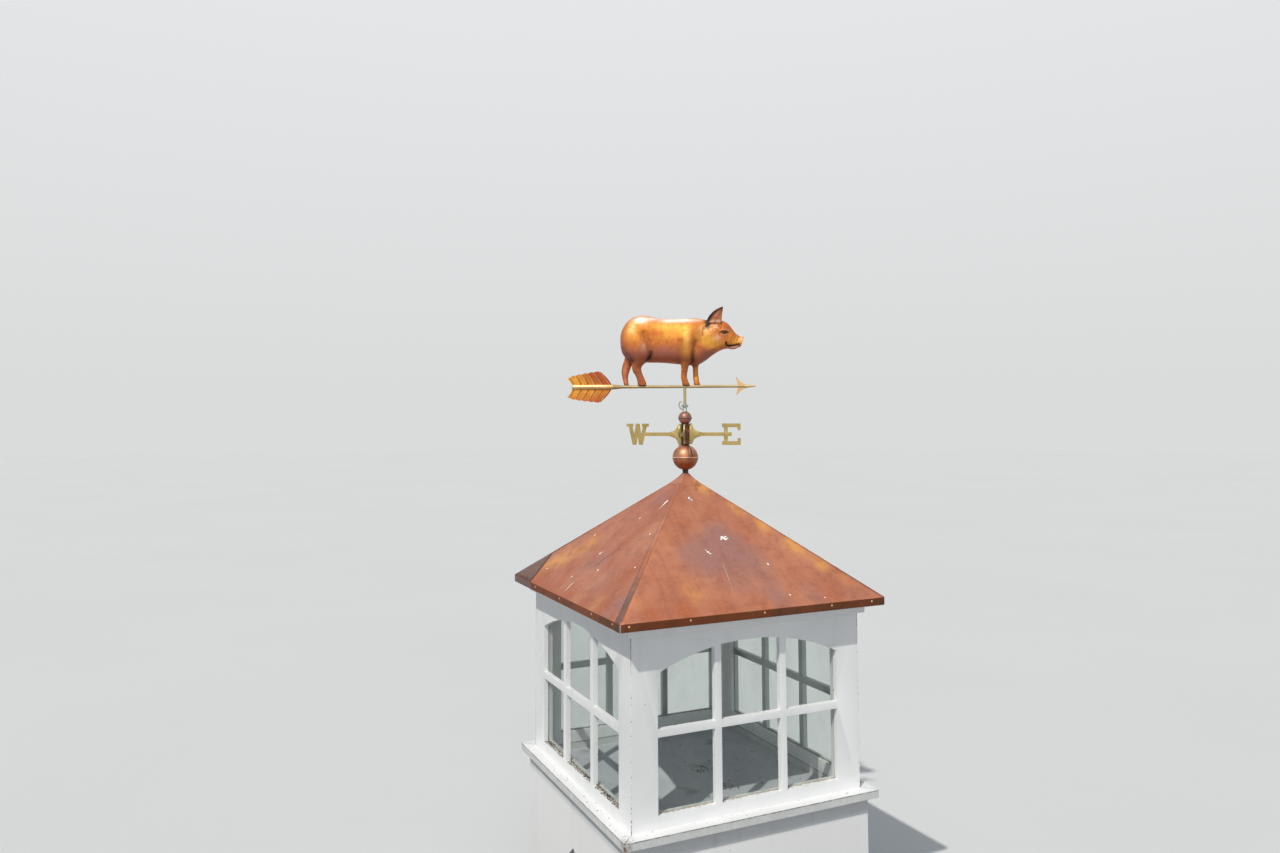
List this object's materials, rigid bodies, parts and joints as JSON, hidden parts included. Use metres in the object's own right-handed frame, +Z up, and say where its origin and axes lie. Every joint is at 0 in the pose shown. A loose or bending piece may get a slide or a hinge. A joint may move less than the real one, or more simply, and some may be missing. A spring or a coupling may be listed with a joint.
{
  "type": "barn cupola",
  "caption": "Square white ridge cupola with arched glazed lantern walls, a copper pyramid roof and a turning pig weathervane over fixed compass arms.",
  "frame": {"origin": "centre of the level line on which the front and back base boards stand", "axes": "+Z up, -Y towards the front window that the picture shows at the right, +X to that window's right"},
  "size_m": [1.055, 1.055, 2.3731],
  "materials": {
    "board": "weathered white cellular board",
    "timber": "weathered exterior plywood",
    "glass": "clear, dusty",
    "roof_copper": "sheet copper browned by weather",
    "globe_copper": "dark aged copper",
    "dark_steel": "dark weathered steel",
    "brass": "dull weathered brass",
    "figure_copper": "polished copper going brown"
  },
  "bodies": {
    "cupola": {"base_front": "board", "base_right": "board", "base_back": "board", "base_left": "board", "floor_cleats": "timber", "floor_panel": "timber", "sill_front": "board", "sill_right": "board", "sill_back": "board", "sill_left": "board", "front_wall": "board", "right_wall": "board", "back_wall": "board", "left_wall": "board", "front_glass": "glass", "right_glass": "glass", "back_glass": "glass", "left_glass": "glass", "front_stop": "board", "right_stop": "board", "back_stop": "board", "left_stop": "board", "eave_moulding": "board", "soffit_boards": "board", "deck_front": "timber", "deck_right": "timber", "deck_back": "timber", "deck_left": "timber", "copper_front": "roof_copper", "copper_right": "roof_copper", "copper_back": "roof_copper", "copper_left": "roof_copper", "king_block": "timber", "mast_rod": "dark_steel", "roof_collar": "dark_steel", "globe_large": "globe_copper", "compass_hub": "dark_steel", "east_west_arms": "brass", "north_south_arms": "brass", "globe_small": "globe_copper", "bearing_cup": "dark_steel"},
    "vane": {"vane_stem": "brass", "arrow_shaft": "brass", "arrow_feathers": "figure_copper", "arrow_head": "brass", "pig": "figure_copper"}
  },
  "joints": [
    {"name": "vane_spin", "type": "hinge", "parent": "cupola", "child": "vane", "pos_m": [0, 0, 1.98], "axis": [0, 0, 1], "continuous": true}
  ]
}
